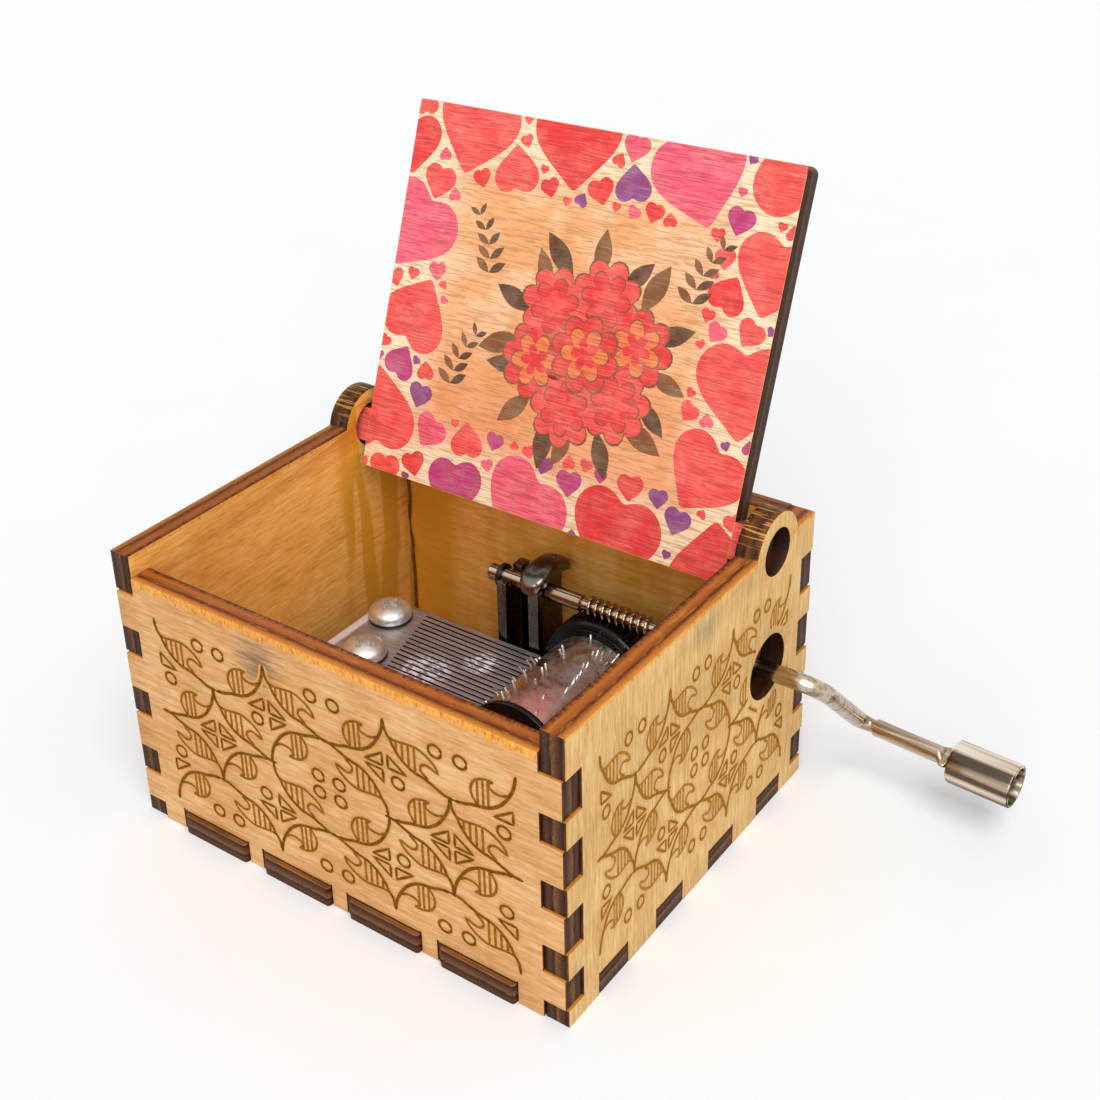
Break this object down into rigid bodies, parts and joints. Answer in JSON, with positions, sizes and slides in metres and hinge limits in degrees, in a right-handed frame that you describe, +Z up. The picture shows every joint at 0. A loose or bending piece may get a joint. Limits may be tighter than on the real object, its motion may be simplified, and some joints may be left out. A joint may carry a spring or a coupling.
{
  "type": "music box",
  "caption": "Small finger-jointed wooden music box with a hinged lid, a comb-and-cylinder movement driven by a worm, and a bent hand crank with a turning knob.",
  "frame": {"origin": "Centre of the box's flat underside, on the surface it stands on.", "axes": "+X points out of the right wall, the crank's side; -Y is the front, away from the lid's pivots; +Z is up."},
  "size_m": [0.0914, 0.0597, 0.0783],
  "materials": {
    "plywood": "bare laser-cut plywood with burnt edges and engraved scrollwork",
    "printed_plywood": "plywood with a matt colour print on the inner face and burnt edges",
    "cast_zinc": "dull die-cast zinc bed plate",
    "comb_steel": "ground spring steel with bright highlights",
    "nickel": "polished nickel plate",
    "drum_nickel": "satin nickel drum with bright pins",
    "gunmetal": "dark plated steel with soft sheen",
    "black_plastic": "glossy black moulded plastic",
    "dark_steel": "blackened steel"
  },
  "bodies": {
    "case": {"left_panel": "plywood", "right_panel": "plywood", "front_panel": "plywood", "back_panel": "plywood", "bottom_panel": "plywood", "base_screw_1": "dark_steel", "base_screw_2": "dark_steel", "base_screw_3": "dark_steel", "bed_plate": "cast_zinc", "comb": "comb_steel", "comb_washer_rear": "dark_steel", "comb_washer_front": "dark_steel", "comb_screw_rear": "nickel", "comb_screw_front": "nickel", "shaft_bracket_left": "gunmetal", "shaft_bracket_right": "gunmetal", "shaft_stay": "gunmetal", "arbor_bearing_front": "gunmetal", "arbor_bearing_rear": "gunmetal"},
    "lid": {"lid_panel": "printed_plywood"},
    "crank": {"crank_rod": "nickel", "retaining_clip": "dark_steel"},
    "knob": {"crank_knob": "nickel"},
    "cylinder": {"pinned_cylinder": "drum_nickel", "cylinder_arbor": "nickel", "cylinder_cap": "black_plastic", "worm_wheel": "black_plastic"}
  },
  "joints": [
    {"name": "lid_hinge", "type": "hinge", "parent": "case", "child": "lid", "pos_m": [0, 0.017, 0.0371], "axis": [-1, 0, 0], "range_deg": [-110, 48]},
    {"name": "crank_spin", "type": "hinge", "parent": "case", "child": "crank", "pos_m": [0, 0.0162, 0.0211], "axis": [1, 0, 0], "continuous": true},
    {"name": "knob_spin", "type": "hinge", "parent": "crank", "child": "knob", "pos_m": [0.05114, 0.0284, 0.00827], "axis": [0.9988, -0.0342, -0.0348], "continuous": true},
    {"name": "cylinder_spin", "type": "hinge", "parent": "case", "child": "cylinder", "pos_m": [0.009, 0, 0.012], "axis": [0, 1, 0], "continuous": true}
  ],
  "couplings": [
    {"joint": "cylinder_spin", "follows": "crank_spin", "ratio": -0.020833}
  ]
}
